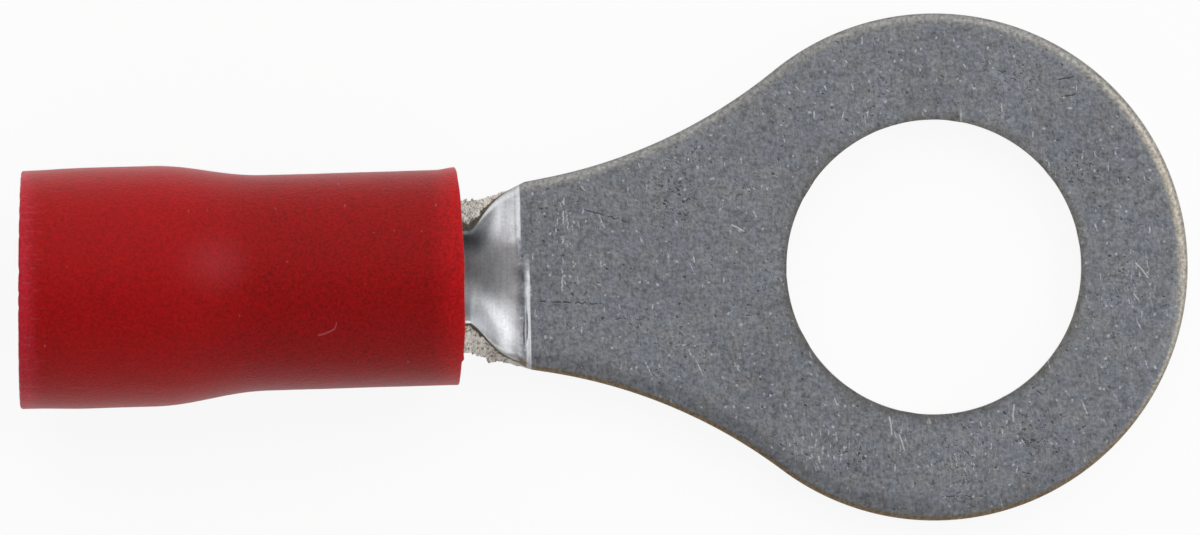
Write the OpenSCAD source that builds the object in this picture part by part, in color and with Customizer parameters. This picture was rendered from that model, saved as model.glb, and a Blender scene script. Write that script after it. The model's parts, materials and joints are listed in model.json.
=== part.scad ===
// Insulated ring terminal for a 0.5 to 1.5 mm2 wire and a 6 mm stud.
// One metal piece, blanked from sheet and rolled: ring tongue, neck, trough and wire barrel.
// One soft vinyl sleeve, pressed over the barrel and belled behind it for the wire's insulation.
// The origin is the centre of the stud hole on the tongue's underside, +Z is the stud's axis,
// +X points to the ring's tip and the wire comes in from -X.

/* [Ring tongue] */
// Diameter of the stud hole
stud_hole_d = 6.8; // [4.4:0.1:8.4]
// Outer diameter of the ring
ring_d = 11.7; // [10.4:0.1:13]
// Thickness of the sheet, in the tongue and in the barrel's wall
sheet_t = 0.8; // [0.6:0.05:1]
// From the stud hole's centre back to the crease where the tongue ends
tongue_reach = 9.4; // [8.4:0.1:13]
// Width of the neck at the crease
neck_w = 4.32; // [3.8:0.02:5]
// Angle of each straight neck side to the centre line
neck_taper = 10; // [4:1:14]
// Straight length of each neck side, before it curves out to the ring
neck_straight = 0.5; // [0.2:0.1:1.2]

/* [Blanked edge] */
// Width of the rounded upper edge
edge_roll_w = 0.2; // [0.1:0.01:0.25]
// Depth of the rounded upper edge
edge_roll_h = 0.13; // [0.06:0.01:0.2]

/* [Trough] */
// From the crease back to where the sheet stands up as a half round
trough_len = 1.3; // [1:0.1:3]
// From there back to where the barrel has closed
closing_len = 0.7; // [0.5:0.1:1.5]
// How late the trough deepens: 1 is an even slope, more keeps the front shallow
trough_lag = 3.5; // [1.5:0.1:5]
// Share of the bend that starts at the crease itself
crease_kick = 0.06; // [0:0.01:0.2]

/* [Wire barrel] */
// Inner diameter of the wire barrel
barrel_bore_d = 1.9; // [1.6:0.05:2.4]
// Length of the closed barrel
barrel_len = 4.9; // [4:0.1:7]
// Width of the butt seam along the barrel's top
seam_w = 0.06; // [0.02:0.01:0.1]
// Chamfer inside the barrel's mouth, where the strands go in
mouth_chamfer = 0.25; // [0.1:0.05:0.4]
// Chamfer round the outside of the barrel's rear end
heel_chamfer = 0.08; // [0.04:0.02:0.16]
// Number of grip grooves inside the barrel
groove_count = 3; // [1:1:4]
// Width of each grip groove
groove_w = 0.4; // [0.2:0.05:0.5]
// Depth of each grip groove
groove_h = 0.07; // [0.04:0.01:0.12]
// Spacing of the grip grooves
groove_pitch = 0.9; // [0.6:0.05:1]

/* [Sleeve] */
// Wall of the vinyl sleeve
sleeve_wall = 0.74; // [0.5:0.01:0.9]
// How far the sleeve's front rim passes the closed barrel, on the barrel's axis
sleeve_lead = 0.4; // [0.1:0.1:0.6]
// Angle of the slanting cut at the sleeve's front rim, which reaches further forward at the top
sleeve_rake = 4.5; // [0:0.5:8]
// Inner diameter of the bell that takes the wire's insulation
bell_bore_d = 4.08; // [3.6:0.02:4.6]
// Straight depth of the bell
bell_len = 3.1; // [2:0.05:5]
// Length of the inner throat, from the bell down to the barrel's mouth
throat_len = 1.7; // [1.2:0.1:2.5]
// How far the outer shoulder runs on over the barrel
shoulder_over = 0.9; // [0.4:0.1:1.5]
// How much the bell's rim is rounded
rim_round = 0.07; // [0.03:0.01:0.12]
// How much the bell's mouth is drawn in on each side
mouth_nip = 0.03; // [0:0.01:0.06]

/* [Hidden] */
$fn = 96;

ring_r = ring_d / 2;
barrel_r = barrel_bore_d / 2 + sheet_t;    // outer radius of the rolled barrel
axis_z = barrel_r;                     // the barrel's underside is level with the tongue's
closed_x = -(tongue_reach + trough_len + closing_len);   // front end of the closed barrel
mouth_x = closed_x - barrel_len;                         // rear end of the barrel
seam_turn = 2.6;                       // half the angle left open at the top of the rolled end
tuck = 0.02;                           // the rolled end is this much thinner inside the barrel wall
tuck_len = 0.12;                       // and runs this far into it
roll_steps = 4;                        // facets across the rounded upper edge
ring_steps = 64;                       // facets round the ring
neck_steps = 12;                       // facets along each curved neck side
bend_steps = 24;                       // facets across the trough
trough_steps = 15;                     // stations from flat to half round
closing_steps = 7;                     // stations from half round to closed
shoulder_steps = 12;                   // cones along each of the sleeve's shoulders
nip_steps = 2;                         // cones where the bell's mouth is drawn in
rim_steps = 3;                         // cones round the bell's rim
cut = 1;                               // how far a cutting body stands clear

// --- Outline of the tongue -----------------------------------------------------------------

// Each neck side leaves the crease straight, then follows one arc that meets the ring tangent.
side_dir = [cos(neck_taper), sin(neck_taper)];
side_out = [-sin(neck_taper), cos(neck_taper)];
side_end = [-tongue_reach, neck_w / 2] + neck_straight * side_dir;
neck_r = (side_end * side_end - ring_r * ring_r) / (2 * (ring_r - side_out * side_end));
neck_c = side_end + neck_r * side_out;
ring_turn = atan2(neck_c.y, neck_c.x);          // where the arc meets the ring
side_turn = neck_taper - 90;                    // where the arc leaves the straight side

function polar(r, a) = r * [cos(a), sin(a)];

// Upper neck side from the ring to the crease, set inward by e
function neck_side(e) = concat(
    [for (i = [1 : neck_steps])
        neck_c + polar(neck_r + e, ring_turn - 180 + (side_turn - ring_turn + 180) * i / neck_steps)],
    [[-tongue_reach, neck_w / 2 - e]]);

// Whole outline, counter-clockwise, set inward by e
function outline(e) = let (side = neck_side(e), n = len(side)) concat(
    [for (i = [n - 1 : -1 : 0]) [side[i].x, -side[i].y]],
    [for (i = [0 : ring_steps]) polar(ring_r - e, ring_turn * (2 * i / ring_steps - 1))],
    side);

// The rounded upper edge as [inset, height] pairs, from the cut face to the upper face
function roll(i) = let (a = 90 * i / roll_steps)
    [edge_roll_w * (1 - cos(a)), sheet_t - edge_roll_h * (1 - sin(a))];
edge_profile = concat([[0, 0]], [for (i = [0 : roll_steps]) roll(i)]);

// --- Solids from rings of points -----------------------------------------------------------

// Closes a ring of n points with a strip of triangles between points i and fold - i
function strip_cap(n, fold) = [
    for (i = [ceil((fold - n) / 2) : floor(fold / 2) - 1])
        let (a = (i + n) % n, b = (i + 1 + n) % n, c = (fold - i - 1) % n, d = (fold - i) % n)
        each (b == c ? [[a, b, d]] : [[a, b, d], [b, c, d]])];

// Skins a list of closed rings, all with the same number of points and the same fold
module skin(rings, fold) {
    n = len(rings[0]);
    last = len(rings) - 1;
    cap = strip_cap(n, fold);
    walls = [for (k = [0 : last - 1]) for (i = [0 : n - 1])
        let (j = (i + 1) % n, a = k * n, b = a + n)
        each [[a + i, b + j, a + j], [a + i, b + i, b + j]]];
    far_cap = [for (t = cap) [for (i = [2 : -1 : 0]) last * n + t[i]]];
    polyhedron([for (r = rings) each r], concat(walls, cap, far_cap), convexity = 6);
}

function lift(shape, z) = [for (p = shape) [p.x, p.y, z]];

// --- Tongue --------------------------------------------------------------------------------

module tongue() {
    difference() {
        skin([for (e = edge_profile) lift(outline(e[0]), e[1])], len(outline(0)) - 1);
        translate([0, 0, -cut]) cylinder(d = stud_hole_d, h = sheet_t + 2 * cut);
    }
}

// --- Trough: the sheet rolls from flat to closed -------------------------------------------

// A station is [x, bend, outer radius, height of the bend's centre, half width, thinning].
// The bend is the angle from the bottom of the trough up to the cut edge.
function trough_station(u) = let (
        bend = 90 * (crease_kick * u + (1 - crease_kick) * pow(u, trough_lag)),
        half = neck_w / 2 + (barrel_r - neck_w / 2) * u,
        r = bend > 0 ? half / sin(bend) : 0)
    [-(tongue_reach + trough_len * u), bend, r, r, half, 0];
function closing_station(v) = let (bend = 90 + (90 - seam_turn) * v * v)
    [closed_x + closing_len - (closing_len + tuck_len) * v, bend,
     barrel_r - tuck * v, barrel_r, barrel_r, tuck * v];

// The point at share f of the bend and height h above the outer face
function sheet_point(s, f, h) = s[1] == 0
    ? [s[0], s[4] * f, h]
    : let (r = s[2] - h * (1 - 2 * s[5] / sheet_t)) [s[0], r * sin(s[1] * f), s[3] - r * cos(s[1] * f)];

// One section of the sheet: outer face, rounded cut edge, inner face, rounded cut edge
function sheet_section(s) = let (last = len(edge_profile) - 1, reach = 1 - edge_roll_w / s[4]) concat(
    [for (i = [0 : bend_steps]) sheet_point(s, 2 * i / bend_steps - 1, 0)],
    [for (k = [1 : last]) sheet_point(s, 1 - edge_profile[k][0] / s[4], edge_profile[k][1])],
    [for (i = [1 : bend_steps - 1]) sheet_point(s, reach * (1 - 2 * i / bend_steps), sheet_t)],
    [for (k = [last : -1 : 1]) sheet_point(s, edge_profile[k][0] / s[4] - 1, edge_profile[k][1])]);

// From inside the barrel's wall forward to the crease
trough_stations = concat(
    [for (i = [closing_steps : -1 : 1]) closing_station(i / closing_steps)],
    [for (i = [trough_steps : -1 : 0]) trough_station(i / trough_steps)]);

module trough() {
    skin([for (s = trough_stations) sheet_section(s)], 2 * bend_steps + len(edge_profile) - 1);
}

// --- Wire barrel ---------------------------------------------------------------------------

// Turns a profile of [distance along, radius] pairs about the barrel's axis, from x forward
module about_barrel(x, profile) {
    translate([x, 0, axis_z]) rotate([0, 90, 0])
        rotate_extrude() polygon([for (p = profile) [p[1], p[0]]]);
}

// Grip groove i, seen from the front of the barrel to its rear
function groove(i) = let (
        mid = barrel_len / 2 + groove_pitch * ((groove_count - 1) / 2 - i),
        bore = barrel_bore_d / 2)
    [[mid + groove_w / 2, bore], [mid + groove_w / 4, bore + groove_h],
     [mid - groove_w / 4, bore + groove_h], [mid - groove_w / 2, bore]];

module barrel() {
    difference() {
        about_barrel(mouth_x, concat(
            [[0, barrel_r - heel_chamfer], [heel_chamfer, barrel_r], [barrel_len, barrel_r],
             [barrel_len, barrel_bore_d / 2]],
            [for (i = [0 : groove_count - 1]) each groove(i)],
            [[mouth_chamfer, barrel_bore_d / 2], [0, barrel_bore_d / 2 + mouth_chamfer]]));
        translate([mouth_x - cut, -seam_w / 2, axis_z])
            cube([barrel_len + 2 * cut, seam_w, barrel_r + cut]);
    }
}

// --- Sleeve --------------------------------------------------------------------------------

// Smooth step in so many cones between two [distance, radius] points, without its first point
function ease(a, b, steps) = [for (i = [1 : steps]) let (s = i / steps)
    [a[0] + (b[0] - a[0]) * s, a[1] + (b[1] - a[1]) * (1 - cos(180 * s)) / 2]];

bell_r = bell_bore_d / 2;
bell_outer_r = bell_r + sleeve_wall;
sleeve_r = barrel_r + sleeve_wall;
throat_end = bell_len + throat_len;
sleeve_len = throat_end + barrel_len + sleeve_lead;

// Rounded corner of the bell's rim, from its end face to its outside
bell_rim = [for (i = [0 : rim_steps])
    [rim_round, bell_outer_r - mouth_nip - rim_round] + polar(rim_round, 180 - 90 * i / rim_steps)];

module sleeve_body() {
    about_barrel(mouth_x - throat_end, concat(
        bell_rim,
        ease([rim_round, bell_outer_r - mouth_nip], [bell_len / 2, bell_outer_r], nip_steps),
        [[bell_len, bell_outer_r]],
        ease([bell_len, bell_outer_r], [throat_end + shoulder_over, sleeve_r], shoulder_steps),
        [[sleeve_len + cut, sleeve_r], [sleeve_len + cut, barrel_r], [throat_end, barrel_r]],
        ease([throat_end, barrel_r], [bell_len, bell_r], shoulder_steps),
        [[0, bell_r]]));
}

// Everything in front of the slanting cut
module ahead_of_rim() {
    side = 2 * (sleeve_r + cut);
    translate([closed_x + sleeve_lead, 0, axis_z]) rotate([0, sleeve_rake, 0])
        translate([0, -side / 2, -side / 2]) cube(side);
}

// --- Nodes ---------------------------------------------------------------------------------

module terminal() {
    color([0.47, 0.48, 0.5]) {
        tongue();
        trough();
        barrel();
    }
}

module sleeve() {
    color([0.58, 0.1, 0.12]) difference() {
        sleeve_body();
        ahead_of_rim();
    }
}

terminal();
sleeve();
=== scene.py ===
import json
from math import atan2, ceil, cos, hypot, pi, radians, sin, tan

import bmesh
import bpy
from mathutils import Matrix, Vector, noise
from mathutils.geometry import delaunay_2d_cdt


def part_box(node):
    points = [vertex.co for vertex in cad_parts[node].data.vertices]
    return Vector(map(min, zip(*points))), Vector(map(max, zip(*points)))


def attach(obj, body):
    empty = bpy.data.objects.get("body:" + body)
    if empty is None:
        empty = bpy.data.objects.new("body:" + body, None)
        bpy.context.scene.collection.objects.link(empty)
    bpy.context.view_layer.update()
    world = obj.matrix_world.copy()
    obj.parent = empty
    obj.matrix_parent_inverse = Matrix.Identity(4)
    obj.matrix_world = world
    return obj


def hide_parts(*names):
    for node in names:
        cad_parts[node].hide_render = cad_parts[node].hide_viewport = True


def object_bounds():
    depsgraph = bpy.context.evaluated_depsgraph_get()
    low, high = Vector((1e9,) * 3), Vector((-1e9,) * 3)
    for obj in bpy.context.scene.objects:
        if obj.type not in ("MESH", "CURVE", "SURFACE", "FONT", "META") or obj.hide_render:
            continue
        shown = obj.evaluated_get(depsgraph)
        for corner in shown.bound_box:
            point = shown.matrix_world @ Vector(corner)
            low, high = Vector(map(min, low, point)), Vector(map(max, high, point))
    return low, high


# Insulated ring terminal: one blanked and rolled tin-plated piece, and a red vinyl sleeve over its barrel.
# Lengths in the dictionaries are millimetres; the meshes are metres.

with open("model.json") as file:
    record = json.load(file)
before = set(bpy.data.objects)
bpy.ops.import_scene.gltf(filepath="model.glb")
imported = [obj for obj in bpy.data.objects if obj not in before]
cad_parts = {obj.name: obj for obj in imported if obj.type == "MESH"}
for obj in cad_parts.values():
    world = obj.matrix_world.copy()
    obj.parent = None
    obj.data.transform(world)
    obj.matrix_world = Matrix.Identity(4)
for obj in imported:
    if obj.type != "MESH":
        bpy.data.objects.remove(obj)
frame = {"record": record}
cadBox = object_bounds()
mm = 0.001
scene = bpy.context.scene

mounts = {m["name"]: m for m in frame["record"]["mounts"]}
terminalBox = [[c / mm for c in corner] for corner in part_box("terminal")]
sleeveBox = [[c / mm for c in corner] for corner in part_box("sleeve")]
sheet = mounts["stud_hole"]["dims"]["length_mm"]
studRadius = mounts["stud_hole"]["dims"]["r_mm"]
boreRadius = mounts["wire_barrel"]["dims"]["r_mm"]
bellRadius = mounts["insulation_entry"]["dims"]["r_mm"]
barrelRadius = boreRadius + sheet
axisHeight = barrelRadius
ringRadius = cadBox[1][1] / mm
mouthX = terminalBox[0][0]


def smooth(low, high, value):
    t = min(max((value - low) / (high - low), 0.0), 1.0)
    return t * t * (3 - 2 * t)


def polar(radius, turn):
    return Vector((radius * cos(turn), radius * sin(turn)))


def meshObject(name, bm):
    mesh = bpy.data.meshes.new(name)
    bm.to_mesh(mesh)
    bm.free()
    piece = bpy.data.objects.new(name, mesh)
    scene.collection.objects.link(piece)
    return piece


def plainMesh(piece):
    # the evaluated shape becomes the piece's own mesh, and its modifiers go
    view = bpy.context.evaluated_depsgraph_get()
    result = bpy.data.meshes.new_from_object(piece.evaluated_get(view), preserve_all_data_layers=True,
                                             depsgraph=view)
    piece.modifiers.clear()
    piece.data = result
    return piece


class Wire:
    # what a node puts out, as something to count with

    def __init__(self, socket):
        self.socket = socket
        self.tree = socket.id_data

    def __add__(self, other):
        return maths("ADD", self, other)

    def __sub__(self, other):
        return maths("SUBTRACT", self, other)

    def __rsub__(self, other):
        return maths("SUBTRACT", other, self)

    def __mul__(self, other):
        return maths("MULTIPLY", self, other)

    def __truediv__(self, other):
        return maths("DIVIDE", self, other)

    def __rtruediv__(self, other):
        return maths("DIVIDE", other, self)

    def __pow__(self, other):
        return maths("POWER", self, other)

    def __abs__(self):
        return maths("ABSOLUTE", self)


def feed(socket, value):
    # a socket takes a plain value, or what another node puts out
    value = value.socket if isinstance(value, Wire) else value
    if isinstance(value, bpy.types.NodeSocket):
        socket.id_data.links.new(value, socket)
    else:
        socket.default_value = value


def node(tree, kind, inputs=None, **settings):
    box = tree.nodes.new(kind)
    for label, value in settings.items():
        setattr(box, label, value)
    for label, value in (inputs or {}).items():
        feed(box.inputs[label], value)
    return box


def treeOf(values):
    return next(value.tree for value in values if isinstance(value, Wire))


def maths(operation, *values):
    inputs = dict(enumerate(values))
    return Wire(node(treeOf(values), "ShaderNodeMath", inputs, operation=operation).outputs[0])


def vectors(operation, *values):
    inputs = dict(enumerate(values))
    box = node(treeOf(values), "ShaderNodeVectorMath", inputs, operation=operation)
    return Wire(box.outputs["Value" if operation in ("LENGTH", "DISTANCE") else "Vector"])


def scaled(vector, level):
    box = node(vector.tree, "ShaderNodeVectorMath", {0: vector, "Scale": level}, operation="SCALE")
    return Wire(box.outputs[0])


def turned(vector, angle):
    inputs = {"Vector": vector, "Angle": angle}
    return Wire(node(vector.tree, "ShaderNodeVectorRotate", inputs, rotation_type="Z_AXIS").outputs[0])


def split(vector):
    return [Wire(socket) for socket in node(vector.tree, "ShaderNodeSeparateXYZ", {0: vector}).outputs]


def joined(*values):
    return Wire(node(treeOf(values), "ShaderNodeCombineXYZ", dict(enumerate(values))).outputs[0])


def ramp(value, low, high, toLow=0.0, toHigh=1.0):
    inputs = {"Value": value, "From Min": low, "From Max": high, "To Min": toLow, "To Max": toHigh}
    return Wire(node(value.tree, "ShaderNodeMapRange", inputs, interpolation_type="SMOOTHSTEP").outputs[0])


def pattern(size, detail=2.0, roughness=0.5, **where):
    # noise of one size, over a Vector or along a line's W
    inputs = {"Scale": 1.0 / size, "Detail": detail, "Roughness": roughness, **where}
    dimensions = "1D" if "W" in where else "3D"
    box = node(treeOf(where.values()), "ShaderNodeTexNoise", inputs, noise_dimensions=dimensions)
    return Wire(box.outputs["Fac"])


def most(*values):
    top = values[0]
    for value in values[1:]:
        top = maths("MAXIMUM", top, value)
    return top


def clamp(value):
    return maths("MINIMUM", most(value, 0.0), 1.0)


def about(value, swing, base):
    # base, moved up and down by a value that lies about one half
    return (value - 0.5) * swing + base


def newGroup(name, kind, inputs, outputs):
    # a word names a socket's type, a number is its default
    tree = bpy.data.node_groups.new(name, kind)
    for label, value in inputs.items():
        word = value if isinstance(value, str) else {int: "Int", float: "Float"}[type(value)]
        socket = tree.interface.new_socket(name=label, in_out="INPUT", socket_type="NodeSocket" + word)
        if word != value:
            socket.default_value = value
    for label, word in outputs.items():
        tree.interface.new_socket(name=label, in_out="OUTPUT", socket_type="NodeSocket" + word)
    start = node(tree, "NodeGroupInput")
    end = node(tree, "NodeGroupOutput")
    return tree, {socket.name: Wire(socket) for socket in start.outputs if socket.name}, end


cameraSizes = {
    "aim": (-7.7, 0.15, 0.8),      # point of the part in the middle of the view
    "distance": 560.0,
    "roll": 1.2,                   # degrees
    "width": 27.66,                # what the view spans at the aim
}


def makeCamera(s):
    data = bpy.data.cameras.new("camera")
    data.sensor_width = 36
    data.lens = data.sensor_width * s["distance"] / s["width"]
    data.clip_start = 0.005
    data.clip_end = 20
    camera = bpy.data.objects.new("camera", data)
    scene.collection.objects.link(camera)
    camera.location = (Vector(s["aim"]) + Vector((0, 0, s["distance"]))) * mm
    camera.rotation_euler = (0, 0, radians(-s["roll"]))
    scene.camera = camera


makeCamera(cameraSizes)
print("camera placed")


def grainGroup():
    # fine lines along one axis: Across is their pitch, Along their length
    tree, get, end = newGroup("lineGrain", "ShaderNodeTree",
                              {"Vector": "Vector", "Across": 0.04, "Along": 1.0, "Seed": 0.0},
                              {"Value": "Float"})
    x, y, z = split(get["Vector"])
    place = joined(x / get["Across"], y / get["Along"], z / get["Along"] + get["Seed"])
    feed(end.inputs["Value"], pattern(1.0, 2.0, 0.55, Vector=place))
    return tree


def marksGroup():
    # short straight marks, one at most in each cell: nicks, scratches and pits
    tree, get, end = newGroup("shortMarks", "ShaderNodeTree",
                              {"Vector": "Vector", "Spacing": 0.5, "Length": 0.1, "Width": 0.02,
                               "Chance": 0.3, "Turn": 0.0, "Spread": 6.283, "Seed": 0.0},
                              {"Mask": "Float"})
    place = vectors("ADD", get["Vector"], joined(get["Seed"], get["Seed"], 0.0))
    cells = node(tree, "ShaderNodeTexVoronoi", {"Vector": place, "Scale": 1.0 / get["Spacing"]},
                 voronoi_dimensions="2D")
    tint = node(tree, "ShaderNodeSeparateColor", {0: cells.outputs["Color"]})
    spin, chance, size = [Wire(socket) for socket in tint.outputs]
    away = vectors("SUBTRACT", place, Wire(cells.outputs["Position"]))
    local = split(turned(away, (spin - 0.5) * get["Spread"] + get["Turn"]))
    size = size * 0.8 + 0.45
    mask = maths("LESS_THAN", chance, get["Chance"])
    for axis, limit in ((0, "Length"), (1, "Width")):
        mask = mask * ramp(abs(local[axis]) / (get[limit] * size), 0.35, 1.0, 1.0, 0.0)
    feed(end.inputs["Mask"], mask)
    return tree


def patchGroup():
    # soft round patch about a point
    tree, get, end = newGroup("softPatch", "ShaderNodeTree",
                              {"Vector": "Vector", "Centre": "Vector", "Stretch": "Vector", "Soft": 0.6},
                              {"Mask": "Float"})
    away = vectors("DIVIDE", vectors("SUBTRACT", get["Vector"], get["Centre"]), get["Stretch"])
    feed(end.inputs["Mask"], ramp(vectors("LENGTH", away), 1.0 - get["Soft"], 1.0, 1.0, 0.0))
    return tree


def lineGroup():
    # one uneven line about a centre: a scratch, a crack or a die line
    tree, get, end = newGroup("wornLine", "ShaderNodeTree",
                              {"Vector": "Vector", "Centre": "Vector", "Turn": 0.0, "Reach": 0.5,
                               "Width": 0.02, "Wave": 0.02, "Curl": 0.0, "Broken": 0.3, "Seed": 0.0},
                              {"Mask": "Float"})
    away = vectors("SUBTRACT", get["Vector"], get["Centre"])
    x, y, z = split(turned(away, get["Turn"] * -1.0))
    sway = (pattern(0.16, W=x + get["Seed"]) - 0.5) * get["Wave"]
    curl = most(x, 0.0) ** 3.0 * get["Curl"]
    body = ramp(abs(y - (sway + curl)), get["Width"], get["Width"] * 0.3)
    ends = ramp(abs(x), get["Reach"], get["Reach"] * 0.85)
    gaps = ramp(pattern(0.3, W=x + (get["Seed"] + 40.0)) - get["Broken"] * 0.5, 0.1, 0.2)
    feed(end.inputs["Mask"], body * ends * gaps)
    return tree


groups = {"grain": grainGroup(), "marks": marksGroup(), "patch": patchGroup(), "line": lineGroup()}


class Bench:
    # one material being wired: its tree, its shader and its millimetre coordinates

    def __init__(self, name):
        self.material = bpy.data.materials.new(name)
        self.material.use_nodes = True
        self.tree = self.material.node_tree
        self.tree.nodes.clear()
        self.shader = node(self.tree, "ShaderNodeBsdfPrincipled")
        node(self.tree, "ShaderNodeOutputMaterial", {"Surface": self.shader.outputs[0]})
        place = node(self.tree, "ShaderNodeTexCoord").outputs["Object"]
        self.place = vectors("MULTIPLY", Wire(place), (1000, 1000, 1000))
        self.x, self.y, self.z = split(self.place)

    def set(self, **values):
        # shader inputs, with an underscore for each space
        for label, value in values.items():
            feed(self.shader.inputs[label.replace("_", " ")], value)

    def attribute(self, name):
        return Wire(node(self.tree, "ShaderNodeAttribute", attribute_name=name).outputs["Fac"])

    def noise(self, size, detail=2.0, roughness=0.5):
        return pattern(size, detail, roughness, Vector=self.place)

    def group(self, key, **values):
        values.setdefault("Vector", self.place)
        return Wire(node(self.tree, "ShaderNodeGroup", values, node_tree=groups[key]).outputs[0])

    def marks(self, sizes):
        labels = ("Spacing", "Length", "Width", "Chance", "Turn", "Spread", "Seed")
        return self.group("marks", **dict(zip(labels, sizes)))

    def nearLine(self, lines, seed):
        # one line group that takes the place and shape of the listed line in reach
        centre, shape, wear = (99, 99, 0), (0, 0.1, 0.02), (0, 0, 0)
        for x, y, turn, reach, width, wave, broken in lines:
            away = vectors("DISTANCE", self.place, (x, y, sheet))
            inside = maths("LESS_THAN", away, reach * 1.05)
            centre = self.pick(inside, centre, (x, y, 0))
            shape = self.pick(inside, shape, (turn, reach, width))
            wear = self.pick(inside, wear, (wave, broken, 0))
        turn, reach, width = split(shape)
        wave, broken = split(wear)[:2]
        return self.group("line", Centre=centre, Turn=turn, Reach=reach, Width=width, Wave=wave,
                          Broken=broken, Seed=seed)

    def mix(self, share, first, second):
        inputs = {0: share, 6: first, 7: second}
        return Wire(node(self.tree, "ShaderNodeMix", inputs, data_type="RGBA").outputs[2])

    def blend(self, share, first, second):
        return Wire(node(self.tree, "ShaderNodeMix", {0: share, 2: first, 3: second}).outputs[0])

    def pick(self, share, first, second):
        inputs = {0: share, 4: first, 5: second}
        return Wire(node(self.tree, "ShaderNodeMix", inputs, data_type="VECTOR").outputs[1])

    def bump(self, height, depth):
        box = node(self.tree, "ShaderNodeBump", {"Strength": 1.0, "Distance": depth * mm, "Height": height})
        self.set(Normal=Wire(box.outputs[0]))


tinLook = {
    "tin": (0.226, 0.24, 0.266, 1),
    "tinWarm": (0.243, 0.246, 0.257, 1),
    "pit": (0.035, 0.035, 0.037, 1),
    "scratch": (0.62, 0.63, 0.66, 1),
    # the rounded edge's colours: painted reflection in grey and buff, and painted brown shade on the -Y side,
    # which the cut face also takes as its colour
    "rolledTop": (0.248, 0.245, 0.24, 1),
    "rolledEnd": (0.42, 0.385, 0.33, 1),
    "rolledLow": (0.238, 0.176, 0.115, 1),
    "fracture": (0.72, 0.69, 0.63, 1),
    "burnish": (0.13, 0.115, 0.09, 1),
    "stain": (0.13, 0.07, 0.03, 1),
    "bright": (0.54, 0.55, 0.57, 1),
    # short marks: (spacing, length, width, chance, turn, spread of the turn, seed)
    "lonePits": (0.3, 0.045, 0.03, 0.3, 0.3, 2.0, 11.0),
    "strokes": (0.9, 0.14, 0.024, 0.22, 0.1, 1.4, 21.0),
    "dots": (0.24, 0.045, 0.03, 0.3, 0.0, 6.283, 7.0),
    "shortCuts": (0.55, 0.11, 0.022, 0.4, 1.35, 0.9, 2.0),
    "longCuts": (1.1, 0.26, 0.02, 0.3, 1.35, 0.6, 31.0),
    "scuffCuts": (0.2, 0.13, 0.022, 0.75, 1.5, 0.6, 17.0),
    # where the pits crowd together: (x, y, reach along x, reach along y)
    "crowds": ((-6.0, 1.65, 0.75, 1.2), (2.3, -3.8, 0.9, 0.8), (-2.0, -4.3, 0.7, 0.6),
               (3.4, 2.2, 0.8, 0.7)),
    # where it is scuffed with short light strokes
    "scuffs": ((-2.6, -4.1, 1.1, 0.9), (-8.5, 1.2, 0.6, 0.9), (1.7, -3.7, 0.5, 0.7), (0.8, -4.5, 0.8, 0.5),
               (-0.9, -3.9, 0.5, 0.5), (4.7, -0.6, 0.5, 1.2)),
    # painted light and shade of the trough, multiplied into its colour: (x, y, reach along x, reach along y,
    # factor)
    "troughShades": ((-10.8, 0.4, 2.4, 1.2, 0.45), (-10.75, -1.2, 0.8, 0.6, 2.3), (-10.6, 0.8, 0.7, 0.5, 0.45),
                     (-9.8, 1.0, 0.45, 0.8, 1.8), (-10.4, -0.3, 0.9, 0.6, 0.5), (-9.8, -1.1, 0.4, 0.7, 1.3)),
    # single marks, none in another's reach: (x, y, turn, half length, width, wave, how broken)
    "lightLines": ((-8.55, 0.48, 1.53, 1.5, 0.024, 0.09, 0.7), (-1.07, -3.62, -1.45, 0.24, 0.024, 0.02, 0.2),
                   (-0.82, -4.03, -1.28, 0.22, 0.024, 0.02, 0.1), (1.76, -3.4, 1.5, 0.22, 0.026, 0.03, 0.2),
                   (4.8, -0.17, -0.9, 0.24, 0.024, 0.03, 0.2), (-4.5, 1.0, -0.5, 0.18, 0.024, 0.02, 0.1)),
    "darkLines": ((-8.4, -0.65, -0.06, 0.85, 0.03, 0.1, 0.6), (-7.6, 1.35, -0.3, 0.6, 0.028, 0.1, 0.6),
                  (0.45, -5.3, 0.0, 0.6, 0.026, 0.08, 0.7), (3.12, 4.28, 0.18, 0.2, 0.028, 0.04, 0.2),
                  (3.18, 3.88, 0.18, 0.18, 0.03, 0.04, 0.1)),
}


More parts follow.
